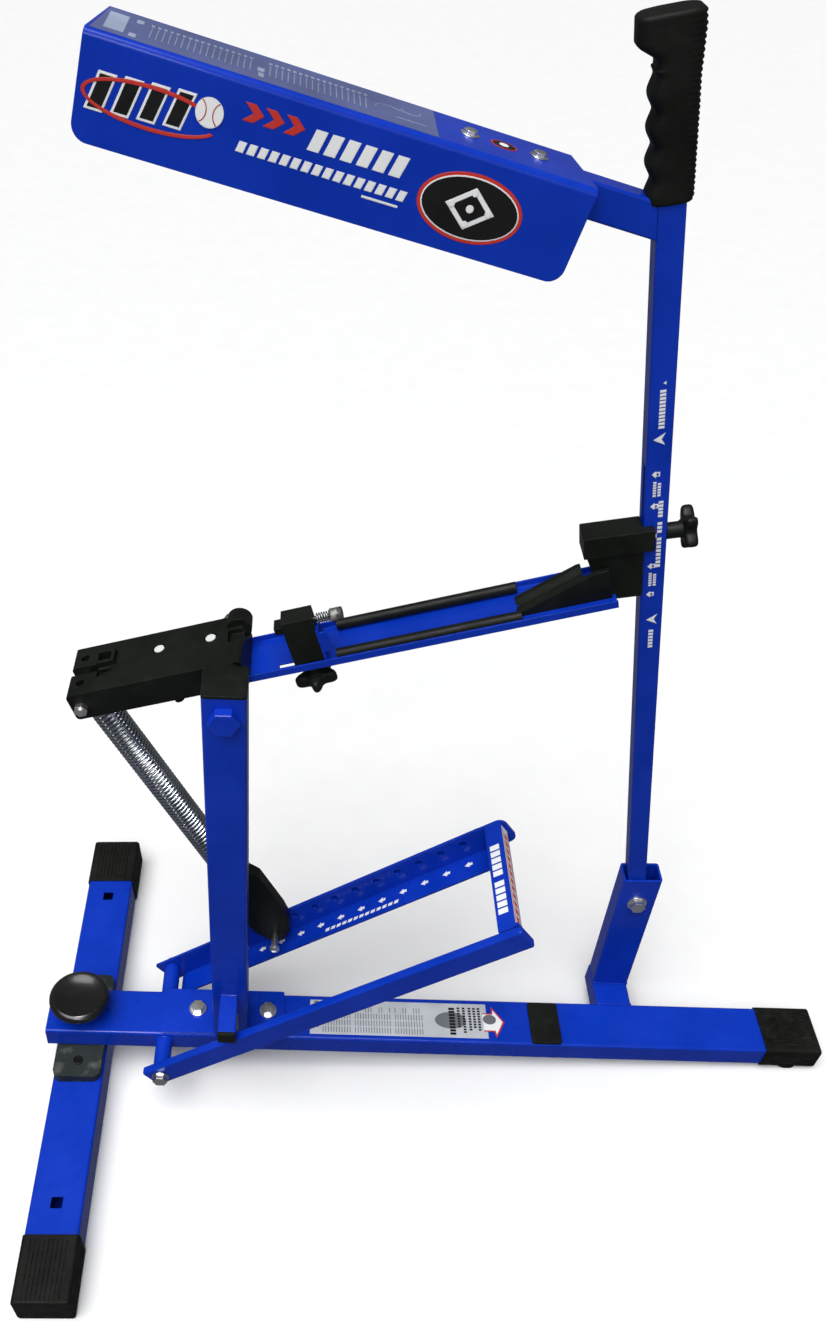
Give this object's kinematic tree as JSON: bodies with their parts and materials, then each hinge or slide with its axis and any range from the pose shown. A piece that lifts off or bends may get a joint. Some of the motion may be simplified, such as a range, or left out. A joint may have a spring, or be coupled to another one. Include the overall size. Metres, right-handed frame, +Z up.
{
  "type": "baseball pitching machine",
  "caption": "Foot-operated baseball pitching machine: a beam base with a post, a sprung throwing arm, a release arm with hood and grip, and a pedal.",
  "frame": {"origin": "centre of the overall box in plan, on the floor plane under the crossbar caps and the beam end cap", "axes": "+Z up, +X along the main beam towards its capped free end, +Y away from the pedal's near rail, along the crossbar"},
  "size_m": [1.1762, 0.792, 1.3909],
  "materials": {
    "blue_paint": "gloss",
    "black_rubber": "satin",
    "black_plastic": "satin",
    "zinc": "satin",
    "black_oxide": "satin"
  },
  "bodies": {
    "frame": {"main_beam": "blue_paint", "beam_end_cap": "black_rubber", "crossbar": "blue_paint", "crossbar_cap_near": "black_rubber", "crossbar_cap_far": "black_rubber", "saddle_plate": "black_plastic", "saddle_screw": "zinc", "mount_plate": "blue_paint", "mount_bolts": "zinc", "mount_washers": "zinc", "post": "blue_paint", "post_cap": "black_plastic", "pedal_stop_stub": "blue_paint", "stub_plug": "black_plastic", "stop_pad": "black_rubber", "arm_pivot_bolt": "blue_paint", "arm_pivot_spacer": "black_plastic", "arm_pivot_nut": "zinc", "arm_pivot_washer": "zinc", "bracket_base": "blue_paint", "release_bracket": "blue_paint", "release_bolt": "zinc", "release_washers": "zinc", "release_nut": "zinc", "pedal_pivot_tube": "blue_paint", "pedal_bolt": "zinc", "pedal_nut": "zinc"},
    "knob": {"crossbar_knob": "black_plastic"},
    "arm": {"crank_block": "black_plastic", "crank_rivets": "zinc", "spring_pin": "zinc", "arm_channel": "blue_paint", "ball_rods": "black_plastic", "arm_ramp": "black_plastic"},
    "ball_stop": {"ball_stop": "black_plastic", "ball_stop_tab": "blue_paint", "adjust_spring": "zinc"},
    "ball_stop_knob": {"ball_stop_knob": "black_plastic"},
    "adjust_screw": {"adjust_screw": "zinc"},
    "release_arm": {"release_tube": "blue_paint", "grip": "black_rubber", "hood": "blue_paint", "hood_arm": "blue_paint", "hood_bolts": "zinc"},
    "release_block": {"release_block": "black_plastic"},
    "release_knob": {"release_knob": "black_plastic"},
    "pedal": {"pedal_far_rail": "blue_paint", "pedal_near_rail": "blue_paint", "pedal_step": "blue_paint"},
    "yoke": {"spring_yoke": "black_plastic"},
    "speed_pin": {"speed_pin": "zinc"},
    "spring": {"main_spring": "zinc"}
  },
  "joints": [
    {"name": "arm_swing", "type": "hinge", "parent": "frame", "child": "arm", "pos_m": [-0.27198, 0.094, 0.74626], "axis": [0, -1, 0], "range_deg": [0, 70]},
    {"name": "spring_swing", "type": "hinge", "parent": "arm", "child": "spring", "pos_m": [-0.4496, 0.094, 0.69614], "axis": [0, -1, 0], "range_deg": [-96.5, 0], "deforming": ["main_spring"]},
    {"name": "pedal_press", "type": "hinge", "parent": "frame", "child": "pedal", "pos_m": [-0.40934, -0.025, 0.08089], "axis": [0, 1, 0], "range_deg": [0, 34.2], "stiffness_Nm_per_rad": 30, "springref_deg": -20.05},
    {"name": "yoke_swing", "type": "hinge", "parent": "pedal", "child": "yoke", "pos_m": [-0.24057, 0.094, 0.19766], "axis": [0, 1, 0], "range_deg": [-34.3, 0]},
    {"name": "speed_pin_pull", "type": "slide", "parent": "pedal", "child": "speed_pin", "axis": [0, -1, 0], "range_m": [0, 0.0048]},
    {"name": "release_tilt", "type": "hinge", "parent": "frame", "child": "release_arm", "pos_m": [0.28926, 0.105, 0.26919], "axis": [0, 1, 0], "range_deg": [0, 14]},
    {"name": "release_block_slide", "type": "slide", "parent": "release_arm", "child": "release_block", "axis": [-0.1471, 0, 0.9891], "range_m": [0, 0.08]},
    {"name": "release_knob_turn", "type": "hinge", "parent": "release_block", "child": "release_knob", "pos_m": [0.23101, 0.101, 0.90554], "axis": [0.9891, 0, 0.1471], "continuous": true},
    {"name": "ball_stop_slide", "type": "slide", "parent": "arm", "child": "ball_stop", "axis": [-0.969, 0, -0.247], "range_m": [0, 0.035]},
    {"name": "ball_stop_knob_turn", "type": "hinge", "parent": "ball_stop", "child": "ball_stop_knob", "pos_m": [-0.17445, 0.074, 0.74016], "axis": [-0.247, 0, 0.969], "continuous": true},
    {"name": "adjust_screw_turn", "type": "hinge", "parent": "ball_stop", "child": "adjust_screw", "pos_m": [-0.17307, 0.0745, 0.80759], "axis": [0.969, 0, 0.247], "continuous": true},
    {"name": "crossbar_knob_turn", "type": "hinge", "parent": "frame", "child": "knob", "pos_m": [-0.53668, 0.0131, 0.10704], "axis": [0.0558, 0, 0.9984], "continuous": true}
  ],
  "couplings": [
    {"joint": "spring_swing", "follows": "arm_swing", "ratio": -1.37},
    {"joint": "yoke_swing", "follows": "pedal_press", "ratio": -1}
  ]
}
